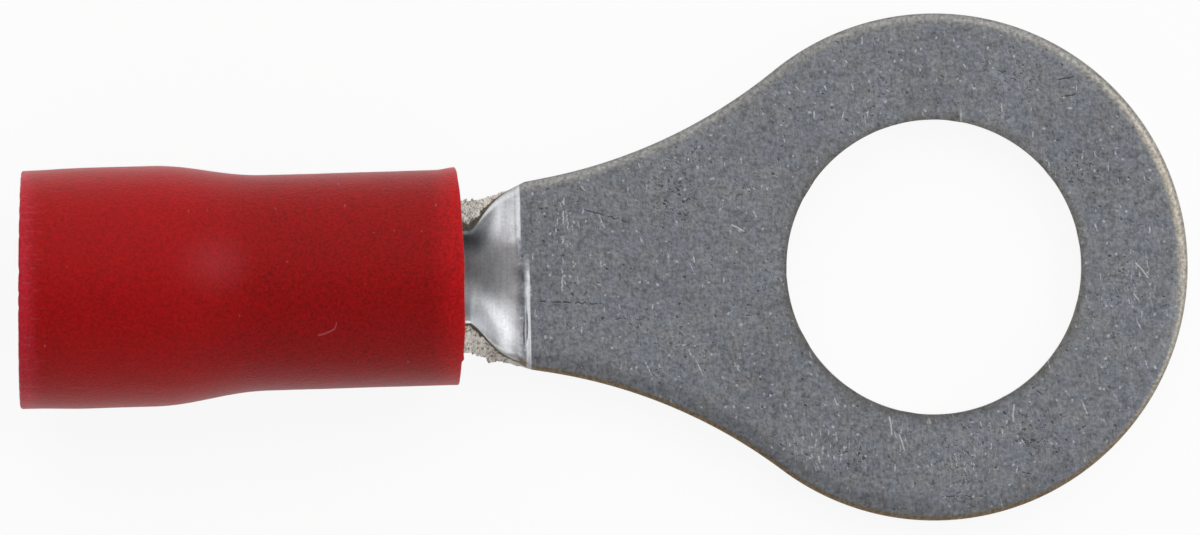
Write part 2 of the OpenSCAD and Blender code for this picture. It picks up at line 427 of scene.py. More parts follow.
def tinMaterial(look):
    b = Bench("tinnedMetal")
    rubbed = b.attribute("rubbed")
    cutFace = b.attribute("cutFace")
    cutDepth = b.attribute("cutDepth")
    worn = ramp(rubbed, 0.0, 1.0, 1.0, 0.15)
    above = ramp(b.z, 0.45, 0.6)

    fine = b.group("grain", Across=0.05, Along=0.22, Seed=3.0)
    speckle = b.noise(0.075, roughness=0.6)
    mottle = b.noise(0.2, 3.0)
    blotch = b.noise(1.4, 3.0)
    level = 1.0
    for value, swing in ((fine, 0.6), (speckle, 1.3), (mottle, 0.8), (blotch, 0.4)):
        level = about(value, swing, level)
    dieLines = about(b.group("grain", Across=0.05, Along=0.6, Seed=14.0), 0.35, 1.0)
    dieLines = about(b.noise(0.06), 0.5, dieLines)
    # the trough's tone is multiplied by its painted light and shade
    level = b.blend(rubbed, level, dieLines) * b.attribute("shade")
    tin = b.mix(ramp(b.noise(0.5, 3.0), 0.38, 0.68), look["tin"], look["tinWarm"])
    colour = scaled(b.mix(rubbed, tin, look["bright"]), level)

    # pits crowd together in places, single ones lie anywhere
    crowd = most(ramp(blotch, 0.54, 0.68, 0.0, 0.7), b.attribute("crowd"))
    smallPits = ramp(b.noise(0.085, 1.5), 0.4, 0.33) * crowd
    uneven = ramp(b.noise(0.06, 1.0), 0.3, 0.55)
    lonePits = most(b.marks(look["lonePits"]), b.marks(look["strokes"])) * uneven
    cuts = most(b.marks(look["shortCuts"]), b.marks(look["longCuts"]),
                b.marks(look["scuffCuts"]) * b.attribute("scuffed"))
    dark = most(smallPits * 0.75, lonePits * 0.7, b.nearLine(look["darkLines"], 12.5) * (above * 0.65)) * worn
    light = most(cuts * 0.8, b.marks(look["dots"]) * 0.7) * uneven
    light = most(light, b.nearLine(look["lightLines"], 2.5) * (above * 0.75)) * worn
    colour = b.mix(dark, colour, look["pit"])
    colour = b.mix(light, colour, look["scratch"])

    # the rounded edge, with painted reflection and shade in its colour: painted grey reflection on the +Y
    # side, painted buff reflection at the ring's end, painted brown shade on the -Y side
    lowSide = ramp(b.y, 0.5, -2.0)
    edge = b.mix(lowSide, look["rolledTop"], look["rolledLow"])
    ringEnd = ramp(b.x, 1.5, 4.6) * ramp(abs(b.y), 2.0, 4.6, 1.0, 0.3)
    edge = scaled(b.mix(ringEnd, edge, look["rolledEnd"]), about(speckle, 1.8, 1.0))
    rolled = b.attribute("rolled")
    band = b.blend(lowSide, ramp(rolled, 0.15, 0.7), ramp(rolled, 0.7, 0.88))
    colour = b.mix(band * ramp(rubbed, 0.0, 1.0, 1.0, 0.1), colour, edge)

    # nearly the whole cut is torn beside the trough, a little over half of it round the tongue
    torn = ramp(b.noise(0.06, 4.0, 0.7), 0.3, 0.5)
    border = b.blend(rubbed, cutDepth, cutDepth - ramp(b.y, -0.6, 0.6, 0.34, 0.22))
    border = about(b.noise(0.12), 0.35, border)
    # the cut face's smooth part takes the brown that is also the rounded edge's painted shade
    cutColour = b.mix(torn, look["rolledLow"], look["fracture"])
    cutColour = b.mix(ramp(border, 0.5, 0.56), cutColour, look["burnish"])
    spots = ramp(abs(border - 0.5), 0.09, 0.04) * rubbed * ramp(mottle, 0.42, 0.55)
    cutColour = b.mix(spots, cutColour, look["stain"])
    b.set(Base_Color=b.mix(cutFace, colour, cutColour))

    b.set(Metallic=b.blend(cutFace * ramp(border, 0.5, 0.56, 1.0, 0.0), 0.95, 0.1))
    rough = b.blend(rubbed, about(mottle, 0.2, 0.46), 0.45)
    b.set(Roughness=b.blend(cutFace, rough, 0.6))
    height = (fine * 0.3 + speckle * 0.8) * worn - dark * 0.8 - light * 0.3
    b.bump(b.blend(cutFace, height, torn * 3.0), 0.008)
    return b.material


vinylLook = {
    "red": (0.345, 0.0012, 0.0018, 1),
    "rear": (0.47, 0.016, 0.032, 1),
    "front": (0.52, 0.004, 0.006, 1),
    "haze": (0.5, 0.12, 0.15, 1),
    "hazeSpot": (-16.5, 0.44, 4.4),        # rubbed patch on top of the shoulder
    "hazeStretch": (1.1, 0.95, 1.5),
    "tubeShade": 0.82,                     # the vinyl looks darker where it hugs the barrel
    # short marks, as on the metal
    "specks": (0.6, 0.04, 0.028, 0.16, 0.0, 6.283, 5.0),
    "rubs": (0.5, 0.24, 0.024, 0.35, 0.0, 0.3, 8.0),
    "endMarks": (0.2, 0.24, 0.03, 0.6, 0.0, 0.2, 12.0),
    "scratch": {"Centre": (-13.95, -1.2, 0), "Turn": 0.3, "Reach": 0.27, "Width": 0.03, "Wave": 0.05,
                "Curl": 9.0, "Broken": 0.0, "Seed": 1.0},
}


def vinylMaterial(look):
    b = Bench("redVinyl")
    above = ramp(b.z, 1.8, 2.2)
    grain = b.noise(0.07, 3.0, 0.7)
    level = about(grain, 1.6, ramp(b.x, -17.6, -15.2, 1.0, look["tubeShade"]))
    level = about(b.noise(0.9), 0.12, level)
    colour = b.mix(ramp(b.x, -20.5, -21.0, 0.0, 0.85), look["red"], look["rear"])
    colour = b.mix(ramp(b.x, -11.7, -11.0, 0.0, 0.9), colour, look["front"])
    colour = scaled(colour, level)

    haze = b.group("patch", Centre=look["hazeSpot"], Stretch=look["hazeStretch"], Soft=1.0)
    rubs = b.marks(look["rubs"]) * ramp(b.y, -1.2, -2.4)
    endMarks = b.marks(look["endMarks"]) * ramp(b.x, -20.3, -20.8)
    scratch = b.group("line", **look["scratch"])
    marks = most(haze * 0.11, b.marks(look["specks"]) * 0.4, rubs * 0.1, endMarks * 0.13,
                 scratch * (above * 0.5))
    b.set(Base_Color=b.mix(marks, colour, look["haze"]), Roughness=about(grain, 0.2, 0.5),
          Specular_IOR_Level=0.1, Sheen_Weight=0.27, Sheen_Roughness=0.43,
          Subsurface_Weight=0.3, Subsurface_Radius=(0.8 * mm, 0.06 * mm, 0.06 * mm), Subsurface_Scale=1.0)
    b.bump(grain + b.noise(0.5) * 0.6, 0.012)
    return b.material


tin = tinMaterial(tinLook)
vinyl = vinylMaterial(vinylLook)
print("materials made")


blank = {
    "tongueReach": 9.4,       # stud hole to crease
    "neckWidth": 4.32,        # at the crease
    "neckTaper": 10.0,
    "neckStraight": 0.5,
    "rollWidth": 0.2,         # rounded upper edge
    "rollDepth": 0.13,
    "easeWidth": 0.32,        # gentle fall of the face towards the rounded edge
    "easeLower": 0.034,
    "easeUpper": 0.006,
    "ringFacets": 300,
    "neckFacets": 60,
    "rollFacets": 6,
    "cutLayers": 8,
    "shareFacets": 80,        # across the sheet in the trough and the barrel
    "faceGrid": 0.17,         # spacing of the points inside the flat faces
    "stripAhead": 0.4,        # how far the even strip runs on past the crease
    "tornDepth": 0.03,        # how far the torn part of the cut edge is pulled in
}
crease = {
    "upperX": -9.5,           # front edge of the ledge on the +Y side
    "lowerX": -9.31,          # and on the -Y side
    "changeY": 0.5,
    "bevel": 0.1,
    "step": 0.034,            # how much higher the trough side lies
    "earlyUpper": 0.03,       # share of a right angle the sides stand up soon after the ledge
    "earlyLower": 0.13,
    "earlyRun": 0.35,
    "fade": 0.55,             # it runs out over this length
    "gougeX": -9.47,
    "gougeY": (-1.78, -0.72),
    "gougeWidth": 0.065,
    "gougeDepth": 0.045,
}
roll = {
    "troughLength": 1.3,
    "closingLength": 0.7,
    "lag": 3.5,
    "lowerLag": 2.7,          # the -Y side stands up a little sooner
    "kick": 0.06,
    "seamTurn": 1.0,          # degrees left open at each side of the seam
    "mouthChamfer": 0.25,
    "heelChamfer": 0.08,
    "grooveCount": 3,
    "groovePitch": 0.9,
    "grooveWidth": 0.4,
    "grooveDepth": 0.07,
}
bent = {
    "from": -10.6,
    "turn": 0.5,              # degrees
}
lumps = {
    "front": -9.9,
    "back": -11.25,
    "perSquareMm": 120,
    "smallest": 0.012,
    "largest": 0.05,
    "burr": (-10.3, -1.95, 0.6),     # a coarser spot on the -Y side
    "burrReach": 0.22,
    "seed": 5,
}


def neckSide(s, inset, startX):
    # upper neck side from the ring back to startX, set inward
    taper = radians(s["neckTaper"])
    along = Vector((cos(taper), sin(taper)))
    out = Vector((-sin(taper), cos(taper)))
    corner = Vector((-s["tongueReach"], s["neckWidth"] / 2))
    end = corner + along * s["neckStraight"]
    radius = (end.dot(end) - ringRadius ** 2) / (2 * (ringRadius - out.dot(end)))
    centre = end + out * radius
    ringTurn = atan2(centre.y, centre.x)
    first, last = ringTurn - pi, taper - pi / 2
    steps = s["neckFacets"]
    side = [centre + polar(radius + inset, first + (last - first) * i / steps) for i in range(1, steps + 1)]
    straight = corner.y + tan(taper) * (startX - corner.x)
    side.append(Vector((startX, straight - inset)))
    return side, ringTurn


def tongueOutline(s, inset, startX):
    side, ringTurn = neckSide(s, inset, startX)
    lower = [Vector((p.x, -p.y)) for p in reversed(side)]
    steps = s["ringFacets"]
    ring = [polar(ringRadius - inset, ringTurn * (2 * i / steps - 1)) for i in range(steps + 1)]
    return lower + ring + side


def edgeProfile(s):
    # (inset, height, how rolled, whether cut) from the underside up to the upper face
    wall = sheet - s["rollDepth"]
    layers = [(0.0, wall * i / s["cutLayers"], 0.0, 1.0) for i in range(s["cutLayers"] + 1)]
    for i in range(1, s["rollFacets"] + 1):
        a = pi / 2 * i / s["rollFacets"]
        height = sheet - s["rollDepth"] * (1 - sin(a))
        layers.append((s["rollWidth"] * (1 - cos(a)), height, 1.0 - 0.4 * smooth(0.3, 1, a / (pi / 2)), 0.0))
    for share in (0.15, 0.3, 0.45, 0.6, 0.8, 1.0):
        layers.append((s["rollWidth"] + s["easeWidth"] * share, sheet, 0.4 * (1 - share) ** 2, 0.0))
    return layers


def easeFall(s, inset, height, y):
    # the face falls a little before it reaches the rounded edge, more so on the -Y side
    share = min(max((inset - s["rollWidth"]) / s["easeWidth"], 0.0), 1.0)
    depth = s["easeLower"] + (s["easeUpper"] - s["easeLower"]) * smooth(-2.0, 1.5, y)
    return depth * (1 - share) ** 2 * smooth(sheet - s["rollDepth"], sheet, height)


def tornPull(s, x, y, height):
    # the lower part of the cut edge tore when it was blanked: pulled in, unevenly
    wall = sheet - s["rollDepth"]
    low = 1 - smooth(0.45, 0.62, height / wall + 0.18 * noise.noise(Vector((x, y, height)) * 4))
    rough = 0.55 + 0.45 * noise.fractal(Vector((x, y, height)) * 9, 0.6, 2.1, 4)
    return s["tornDepth"] * low * min(max(rough, 0.0), 1.0)


def stripStations(s, r):
    # x of each section of the even strip, close together where the shape is tight
    start = -s["tongueReach"]
    upright = start - r["troughLength"]
    closed = upright - r["closingLength"]
    spans = [(start + s["stripAhead"], start + 0.1, 10), (start + 0.1, start - 0.3, 32),
             (start - 0.3, upright, 42), (upright, closed, 26), (closed, mouthX, 90)]
    xs = [spans[0][0]]
    for high, low, steps in spans:
        xs += [high + (low - high) * (i + 1) / steps for i in range(steps)]
    return xs


def innerCut(r, x):
    # metal missing from the barrel's inner face at x: mouth chamfer and grip grooves
    length = x - mouthX
    cut = max(r["mouthChamfer"] - length, 0.0)
    closedLength = -blank["tongueReach"] - r["troughLength"] - r["closingLength"] - mouthX
    for i in range(r["grooveCount"]):
        middle = closedLength / 2 + r["groovePitch"] * ((r["grooveCount"] - 1) / 2 - i)
        edge = abs(length - middle)
        cut = max(cut, r["grooveDepth"] * (1 - smooth(r["grooveWidth"] / 4, r["grooveWidth"] / 2, edge)))
    return cut


def ledgeFront(c, x, y):
    # x of the ledge's front edge, which changes place a little above the middle
    side = smooth(c["changeY"] - 0.07, c["changeY"] + 0.07, y + 0.05 * noise.noise(Vector((7, x * 9, 1))))
    return c["lowerX"] + (c["upperX"] - c["lowerX"]) * side + 0.012 * noise.noise(Vector((3, y * 2.2, 0)))


def ledge(c, x, y):
    # height that the ledge and the gouge at the crease add to the upper face
    behind = ledgeFront(c, x, y) - x
    level = 0.8 + 0.5 * noise.noise(Vector((11, y * 3.1, 0)))
    level *= 0.35 + 0.65 * smooth(0.0, 0.3, abs(y - c["changeY"]))
    up = c["step"] * level * smooth(0, c["bevel"], behind) * (1 - smooth(c["bevel"], c["fade"], behind))
    low, high = c["gougeY"]
    along = smooth(low, low + 0.4, y) * (1 - smooth(high - 0.45, high, y))
    off = abs(x - c["gougeX"] - 0.05 * (y - low))
    across = 1 - smooth(0.2, 1.0, off / (c["gougeWidth"] * (0.3 + 0.7 * along)))
    return up - c["gougeDepth"] * along * across


def holeEdge(turn, level):
    # stud hole radius: the punch broke out a thin lip at the top, more of it on the wire's side
    wire = smooth(0.3, 0.95, -cos(turn))
    rough = noise.fractal(Vector((cos(turn) * 14, sin(turn) * 14, level)), 0.7, 2.1, 4)
    lip = (0.012 + 0.04 * wire * (0.6 + 0.6 * rough)) * smooth(0.8, 1.0, level)
    nick = 0.045 * max(1 - abs(turn - pi * 1.012) / 0.016, 0)
    return studRadius + max(lip, 0) + nick + 0.004 * noise.noise(Vector((cos(turn) * 3, sin(turn) * 3, 5)))


def makeBlank(s, r, c):
    # the flat blank: tongue, and an even strip that the roll turns into trough and barrel
    bm = bmesh.new()
    names = ("share", "depth", "rolled", "cutFace", "cutDepth")
    layers = [bm.verts.layers.float.new(name) for name in names]
    profile = edgeProfile(s)
    startX = -s["tongueReach"] + s["stripAhead"]
    wall = sheet - s["rollDepth"]

    def vert(x, y, z, share=0.0, depth=0.0, rolled=0.0, cut=0.0):
        v = bm.verts.new((x * mm, y * mm, z * mm))
        for layer, value in zip(layers, (share, depth, rolled, cut, min(z / wall, 1.0))):
            v[layer] = value
        return v

    def stripEdge(x, half, bottom, top, side):
        # one blanked edge of a strip section from the underside up, on the +Y (1) or the -Y (-1) side
        edge = []
        for inset, height, rolled, cut in profile[1:]:
            pull = tornPull(s, x, side * half, height) if cut else 0.0
            height -= easeFall(s, inset, height, side * half)
            height += 0 if cut else ledge(c, x, side * (half - inset)) * smooth(0, s["rollWidth"], inset)
            height = bottom + (top - bottom) * height / sheet
            edge.append((side * (1 - (inset + pull) / half), height, rolled, cut))
        return edge

    # walls of the tongue
    rings = []
    for inset, height, rolled, cut in profile:
        ring = []
        for p in tongueOutline(s, inset, startX):
            pull = tornPull(s, p.x, p.y, height) if cut else 0.0
            middle = Vector((0, 0)) if p.x > -4 else Vector((p.x, 0))
            inward = (middle - p).normalized()
            if p.x > startX + 1e-6:
                q = p + inward * pull
            else:
                q = Vector((p.x, p.y - (pull if p.y > 0 else -pull)))
            z = height - easeFall(s, inset, height, q.y)
            ring.append(vert(q.x, q.y, z, 0, z, rolled, cut))
        rings.append(ring)
    for lower, upper in zip(rings, rings[1:]):
        for i in range(len(lower) - 1):
            bm.faces.new((lower[i], lower[i + 1], upper[i + 1], upper[i]))

    # strip sections, each a closed ring: underside, edge, upper face, edge
    sections = []
    shares = [2 * i / s["shareFacets"] - 1 for i in range(s["shareFacets"] + 1)]
    taper = tan(radians(s["neckTaper"]))
    for x in stripStations(s, r):
        half = s["neckWidth"] / 2 + max(taper * (x + s["tongueReach"]), 0.0)
        top = sheet - innerCut(r, x)
        bottom = max(r["heelChamfer"] - (x - mouthX), 0.0)
        inner = 1 - (s["rollWidth"] + s["easeWidth"]) / half
        section = []
        for f in shares:
            pull = tornPull(s, x, f * half, 0.0) if abs(f) == 1 else 0.0
            section.append((f * (1 - pull / half), bottom, 0.0, 1.0 if abs(f) == 1 else 0.0))
        section += stripEdge(x, half, bottom, top, 1)
        across = [inner * f for f in reversed(shares[1:-1])]
        section += [(f, top + ledge(c, x, f * half), 0.0, 0.0) for f in across]
        section += reversed(stripEdge(x, half, bottom, top, -1))
        sections.append([vert(x, f * half, z, f, z, rolled, cut) for f, z, rolled, cut in section])
    for front, back in zip(sections, sections[1:]):
        count = len(front)
        for i in range(count):
            j = (i + 1) % count
            bm.faces.new((front[i], front[j], back[j], back[i]))
    n = s["shareFacets"]
    e = len(profile) - 1
    last = sections[-1]
    count = len(last)
    fold = 2 * n + e
    for i in range(ceil((fold - count) / 2), fold // 2):
        quad = [last[k % count] for k in (i, i + 1, fold - i - 1, fold - i)]
        if len(set(quad)) == 4:
            bm.faces.new(quad)

    # flat faces of the tongue, round the stud hole
    first = sections[0]
    under = list(reversed(first[1:n]))
    upper = first[n + e + 1:n + e + n]
    holeSteps = 360
    holeLevels = [0, 0.2, 0.4, 0.6, 0.8, 0.87, 0.93, 0.98, 1.0]
    holeWall = []
    for level in holeLevels:
        turns = [2 * pi * (holeSteps - i) / holeSteps for i in range(holeSteps)]
        holeWall.append([vert(*polar(holeEdge(turn, level), turn), sheet * level, 0, sheet * level, 0.0,
                              1.0 if level < 0.99 else 0.5) for turn in turns])
    for low, high in zip(holeWall, holeWall[1:]):
        for i in range(holeSteps):
            j = (i + 1) % holeSteps
            bm.faces.new((low[i], low[j], high[j], high[i]))

    def flatFace(border, hole, height, upward):
        points = [v.co.xy / mm for v in border + hole]
        fixed = list(border + hole)
        edge = len(border)
        walls = [(i, (i + 1) % edge) for i in range(edge)]
        walls += [(edge + i, edge + (i + 1) % len(hole)) for i in range(len(hole))]
        grid = s["faceGrid"]
        rimWidth = (s["rollWidth"] + s["easeWidth"] if upward else 0) + 0.08
        rows = int(2 * ringRadius / grid)
        for row in range(rows + 1):
            y = -ringRadius + row * grid
            for column in range(int((ringRadius * 2 + 4) / grid)):
                x = startX + grid * (column + (0.5 if row % 2 else 0.0))
                if x < startX + 0.08 or hypot(x, y) < studRadius + 0.16:
                    continue
                if x > -4 and hypot(x, y) > ringRadius - rimWidth:
                    continue
                if x <= -4 and abs(y) > neckHalf(s, x) - rimWidth:
                    continue
                points.append(Vector((x, y)))
        made = delaunay_2d_cdt(points, walls, [list(range(edge))], 1, 1e-7)
        spots, faces, origins = made[0], made[2], made[3]
        corner = []
        for spot, origin in zip(spots, origins):
            if origin and origin[0] < len(fixed):
                corner.append(fixed[origin[0]])
            else:
                corner.append(vert(spot.x, spot.y, height, 0, height))
        for face in faces:
            middle = sum((spots[i] for i in face), Vector((0, 0))) / len(face)
            if middle.length < studRadius * 0.999 and max(spots[i].length for i in face) < studRadius + 0.08:
                continue
            around = [corner[i] for i in face]
            if not upward:
                around.reverse()
            bm.faces.new(around)

    flatFace(rings[0] + under, holeWall[0], 0.0, False)
    flatFace(rings[-1] + upper, holeWall[-1], sheet, True)

    bmesh.ops.remove_doubles(bm, verts=bm.verts, dist=2e-7)
    loose = [v for v in bm.verts if not v.link_faces]
    bmesh.ops.delete(bm, geom=loose, context="VERTS")
    bmesh.ops.recalc_face_normals(bm, faces=bm.faces)
    return meshObject("terminal_metal", bm)


def neckHalf(s, x):
    # half width of the neck's outline at x
    side = neckSide(s, 0.0, -s["tongueReach"])[0]
    for near, far in zip(side, side[1:]):
        if far.x <= x <= near.x:
            return far.y + (near.y - far.y) * (x - far.x) / (near.x - far.x)
    return side[-1].y if x < side[-1].x else side[0].y


def stored(tree, name):
    return Wire(node(tree, "GeometryNodeInputNamedAttribute", {"Name": name}, data_type="FLOAT").outputs[0])


def painted(tree, geometry, get, end):
    # a group ends with its geometry in the piece's material
    inputs = {"Geometry": geometry, "Material": get["Material"]}
    feed(end.inputs[0], node(tree, "GeometryNodeSetMaterial", inputs).outputs[0])
    return tree


def rollGroup():
    # rolls the strip behind the crease: flat, then half round, then closed
    labels = ("Crease", "Trough Length", "Closing Length", "Neck Half", "Barrel Radius", "Lag", "Lower Lag",
              "Kick", "Upper Front", "Lower Front", "Change Share", "Early Run", "Early Upper", "Early Lower",
              "Neck Slope", "Seam Turn")
    tree, get, end = newGroup("rollUp", "GeometryNodeTree",
                              {"Geometry": "Geometry", **dict.fromkeys(labels, 0.0), "Material": "Material"},
                              {"Geometry": "Geometry"})
    share = stored(tree, "share")
    x = split(Wire(node(tree, "GeometryNodeInputPosition").outputs[0]))[0]
    behind = get["Crease"] * -1.0 - x
    upright = clamp(behind / get["Trough Length"])
    closed = clamp((behind - get["Trough Length"]) / get["Closing Length"])
    lowerSide = (1.0 - share) * 0.5
    lag = get["Lag"] + (get["Lower Lag"] - get["Lag"]) * lowerSide
    opening = get["Kick"] * upright + (1.0 - get["Kick"]) * upright ** lag

    # just behind the ledge the sides already stand up a little
    side = clamp((share - (get["Change Share"] - 0.03)) / 0.06)
    front = get["Lower Front"] + (get["Upper Front"] - get["Lower Front"]) * side
    early = get["Early Upper"] + (get["Early Lower"] - get["Early Upper"]) * lowerSide
    early = early * ramp(front - x, 0.0, get["Early Run"]) * (1.0 - upright)
    turnUp = most((opening + early) * (pi / 2), 0.0004)

    narrowing = 1.0 - (1.0 - upright) ** maths("MULTIPLY_ADD", share, 0.3, 1.1)
    half = get["Neck Half"] + (get["Barrel Radius"] - get["Neck Half"]) * narrowing
    half = half + most(behind * -1.0, 0.0) * get["Neck Slope"]
    radius = half / maths("SINE", turnUp)
    angle = (turnUp + closed * closed * (pi / 2 - get["Seam Turn"])) * share
    depth = stored(tree, "depth") * mm
    y = (radius - depth) * maths("SINE", angle)
    halfSine = maths("SINE", angle * 0.5)
    z = radius * 2.0 * (halfSine * halfSine) + depth * maths("COSINE", angle)
    move = node(tree, "GeometryNodeSetPosition",
                {"Geometry": get["Geometry"], "Selection": maths("GREATER_THAN", behind, -0.06 * mm),
                 "Position": joined(x, y, z)})
    real = node(tree, "GeometryNodeRealizeInstances", {0: move.outputs[0]})
    return painted(tree, real.outputs[0], get, end)


def addNodes(piece, tree, values):
    modifier = piece.modifiers.new(tree.name, "NODES")
    modifier.node_group = tree
    sockets = {item.name: item.identifier for item in tree.interface.items_tree if item.in_out == "INPUT"}
    for label, value in values.items():
        modifier[sockets[label]] = value
    return modifier


def markWear(piece, s, c, look):
    # the die rubbed the trough and the barrel smooth; pits and scuffs crowd together on the tongue; painted
    # light and shade of the trough is stored as shade
    mesh = piece.data
    # all are made before any is written, because a new one moves the others
    names = ("rubbed", "crowd", "scuffed", "shade")
    for name in names:
        mesh.attributes.new(name, "FLOAT", "POINT")
    layers = {name: mesh.attributes[name].data for name in names}
    start = -s["tongueReach"]
    for v in mesh.vertices:
        spot = v.co / mm
        front = ledgeFront(c, spot.x, spot.y)
        facet = smooth(0, 0.02, front - spot.x) * (1 - smooth(c["bevel"], c["bevel"] + 0.06, front - spot.x))
        trough = 1 - smooth(start - 0.3, start - 0.1, spot.x)
        layers["rubbed"][v.index].value = max(facet * smooth(0.2, 0.5, abs(spot.y - c["changeY"])), trough)
        for name, places in (("crowd", look["crowds"]), ("scuffed", look["scuffs"])):
            near = min(hypot((spot.x - x) / reachX, (spot.y - y) / reachY) for x, y, reachX, reachY in places)
            layers[name][v.index].value = 1 - smooth(0.2, 1.0, near)
        # painted light and shade of the trough, from the listed patches
        shade = 1.0
        for x, y, reachX, reachY, left in look["troughShades"]:
            near = hypot((spot.x - x) / reachX, (spot.y - y) / reachY)
            shade *= 1 + (left - 1) * (1 - smooth(0.0, 1.0, near)) * trough
        layers["shade"][v.index].value = shade


def bend(piece):
    # the barrel and the sleeve stand very slightly out of line with the tongue
    for v in piece.data.vertices:
        v.co.y += min(v.co.x - bent["from"] * mm, 0) * tan(radians(bent["turn"]))


def lumpGroup():
    # crumbs of metal left standing on the torn part of the cut edge
    labels = ("Front", "Back", "Density", "Smallest", "Largest", "Burr Reach")
    tree, get, end = newGroup("tornLumps", "GeometryNodeTree",
                              {"Geometry": "Geometry", **dict.fromkeys(labels, 0.0), "Burr": "Vector",
                               "Seed": 0, "Material": "Material"},
                              {"Geometry": "Geometry"})
    position = Wire(node(tree, "GeometryNodeInputPosition").outputs[0])
    x = split(position)[0]
    chosen = maths("LESS_THAN", x, get["Front"]) * maths("GREATER_THAN", x, get["Back"])
    chosen = chosen * maths("GREATER_THAN", stored(tree, "cutFace"), 0.9)
    chosen = chosen * maths("LESS_THAN", stored(tree, "cutDepth"), 0.72)
    scatter = node(tree, "GeometryNodeDistributePointsOnFaces",
                   {"Mesh": get["Geometry"], "Selection": chosen, "Density": get["Density"],
                    "Seed": get["Seed"]}, distribute_method="RANDOM")

    # a ball with a dented surface
    ball = node(tree, "GeometryNodeMeshIcoSphere", {"Radius": 1.0, "Subdivisions": 2})
    rough = Wire(node(tree, "ShaderNodeTexNoise", {"Scale": 1.4, "Vector": position}).outputs["Fac"])
    dents = scaled(position, maths("MULTIPLY_ADD", rough, 2.0, -1.0))
    crumb = node(tree, "GeometryNodeSetPosition", {"Geometry": ball.outputs[0], "Offset": dents})

    # most are small, and they are larger at the burr
    chance = node(tree, "FunctionNodeRandomValue", {"Seed": get["Seed"]}, data_type="FLOAT")
    size = get["Smallest"] + (get["Largest"] - get["Smallest"]) * Wire(chance.outputs[1]) ** 2.0
    near = most(1.0 - vectors("DISTANCE", position, get["Burr"]) / get["Burr Reach"], 0.0)
    size = size * maths("MULTIPLY_ADD", near, 1.6, 1.0)
    anyTurn = (6.283, 6.283, 6.283)
    turn = node(tree, "FunctionNodeRandomValue", {1: anyTurn, "Seed": get["Seed"] + 7.0},
                data_type="FLOAT_VECTOR")
    rotation = node(tree, "FunctionNodeEulerToRotation", {0: turn.outputs[0]})
    crumbs = node(tree, "GeometryNodeInstanceOnPoints",
                  {"Points": scatter.outputs["Points"], "Instance": crumb.outputs[0],
                   "Rotation": rotation.outputs[0], "Scale": joined(size * 1.5, size, size * 0.75)})
    real = node(tree, "GeometryNodeRealizeInstances", {0: crumbs.outputs[0]})
    torn = node(tree, "GeometryNodeStoreNamedAttribute",
                {"Name": "cutFace", "Value": 1.0, "Geometry": real.outputs[0]},
                data_type="FLOAT", domain="POINT")
    both = node(tree, "GeometryNodeJoinGeometry", {0: torn.outputs[0]})
    feed(both.inputs[0], get["Geometry"])
    return painted(tree, both.outputs[0], get, end)


def makeTerminal(s, r, c, l):
    piece = makeBlank(s, r, c)
    addNodes(piece, rollGroup(), {
        "Crease": s["tongueReach"] * mm, "Trough Length": r["troughLength"] * mm,
        "Closing Length": r["closingLength"] * mm, "Neck Half": s["neckWidth"] / 2 * mm,
        "Barrel Radius": barrelRadius * mm, "Lag": r["lag"], "Lower Lag": r["lowerLag"], "Kick": r["kick"],
        "Upper Front": c["upperX"] * mm, "Lower Front": c["lowerX"] * mm,
        "Change Share": c["changeY"] / (s["neckWidth"] / 2), "Early Run": c["earlyRun"] * mm,
        "Early Upper": c["earlyUpper"], "Early Lower": c["earlyLower"],
        "Neck Slope": tan(radians(s["neckTaper"])), "Seam Turn": radians(r["seamTurn"]), "Material": tin})
    plainMesh(piece)
    addNodes(piece, lumpGroup(), {
        "Front": l["front"] * mm, "Back": l["back"] * mm, "Density": l["perSquareMm"] / mm ** 2,
        "Smallest": l["smallest"] * mm, "Largest": l["largest"] * mm, "Burr": Vector(l["burr"]) * mm,
        "Burr Reach": l["burrReach"] * mm, "Seed": l["seed"], "Material": tin})
    plainMesh(piece)
    markWear(piece, s, c, tinLook)
    bend(piece)
    piece.data.shade_smooth()
    piece.data.set_sharp_from_angle(angle=radians(38))
    return piece


terminal = makeTerminal(blank, roll, crease, lumps)
print("terminal:", len(terminal.data.polygons), "faces")


sleeveSizes = {
    "bellLength": 3.1,
    "throatLength": 1.7,
    "shoulderOver": 0.9,
    "rimRound": 0.07,
    "mouthNip": 0.03,
    "frontRound": 0.03,
    "lead": 0.4,              # front rim past the closed barrel, on the axis
    "rake": 4.5,              # degrees: the front rim's slanting cut
    "rearSlant": 0.13,        # the bell's cut falls back this much from the -Y to the +Y side
    "rimStep": 0.03,          # the front cut steps back low on the -Y side
    "flare": 0.055,           # the front edge stands out a little on the +Y side
    "flareLength": 0.45,
    "ripple": 0.012,          # uneven surface, always inward
    "fineRipple": 0.003,
    "around": 288,
    "along": 150,
}
sleeveRadius = barrelRadius + (sleeveBox[1][2] - sleeveBox[0][2]) / 2 - bellRadius


